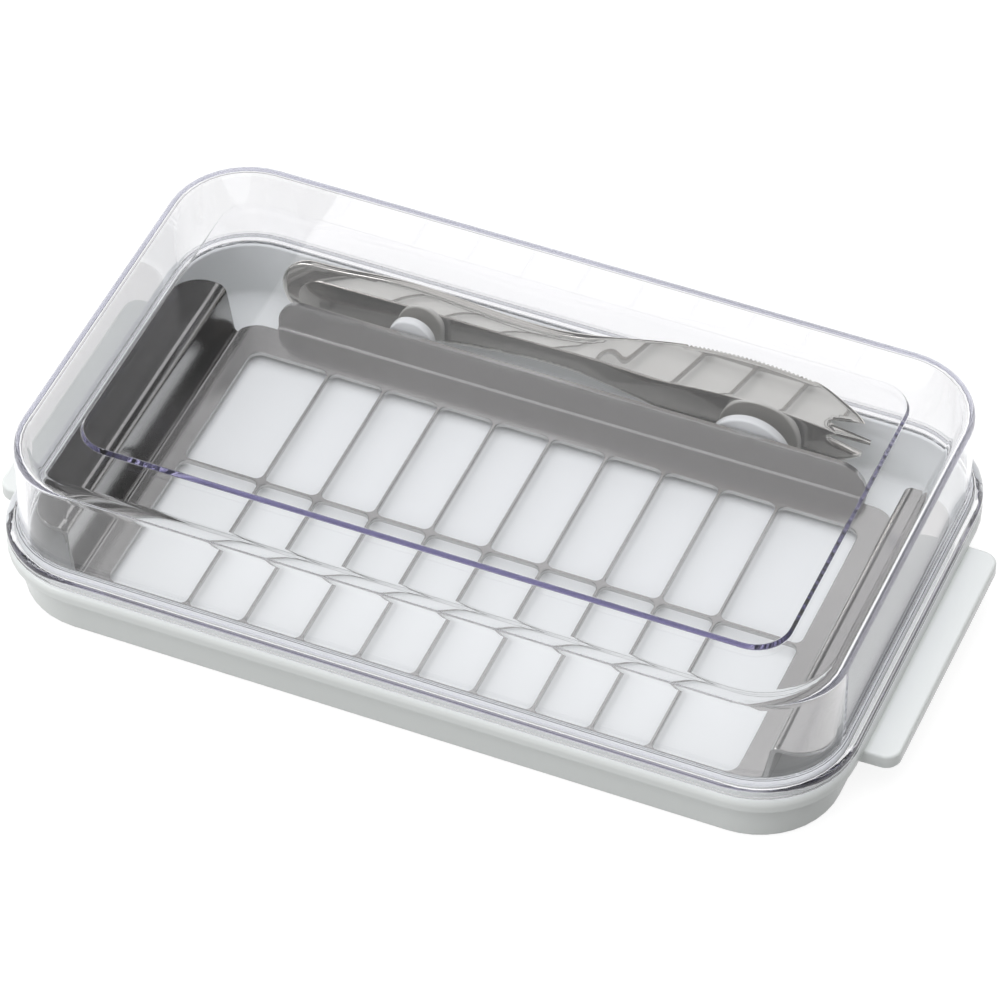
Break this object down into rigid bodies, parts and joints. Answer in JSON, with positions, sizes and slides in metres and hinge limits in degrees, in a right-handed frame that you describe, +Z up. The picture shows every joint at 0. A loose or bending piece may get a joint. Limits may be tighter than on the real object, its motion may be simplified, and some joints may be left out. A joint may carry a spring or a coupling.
{
  "type": "butter dish",
  "caption": "Rectangular butter dish with end grips, a clear lift-off lid, a slotted cutter plate with lifting wings that slices a block, and a butter knife in a rear bay.",
  "frame": {"origin": "centre of the tray's underside, on the table", "axes": "+X along the dish, +Y from the cutter towards the knife bay, +Z up"},
  "size_m": [0.1792, 0.1008, 0.0368],
  "materials": {
    "white_plastic": "moulded ABS, semi-gloss",
    "clear_plastic": "clear moulded SAN with a faint violet tint",
    "stainless_sheet": "fine satin stainless sheet",
    "polished_stainless": "mirror-polished stainless steel"
  },
  "bodies": {
    "tray": {"base_tray": "white_plastic"},
    "lid": {"lid": "clear_plastic"},
    "cutter": {"cutter_plate": "stainless_sheet"},
    "knife": {"butter_knife": "polished_stainless"}
  },
  "joints": [
    {"name": "lid_lift", "type": "slide", "parent": "tray", "child": "lid", "axis": [0, 0, 1], "range_m": [0, 0.08]},
    {"name": "cutter_lift", "type": "slide", "parent": "tray", "child": "cutter", "axis": [0, 0, 1], "range_m": [0, 0.016]},
    {"name": "knife_lift", "type": "slide", "parent": "tray", "child": "knife", "axis": [0, 0, 1], "range_m": [0, 0.008]}
  ]
}
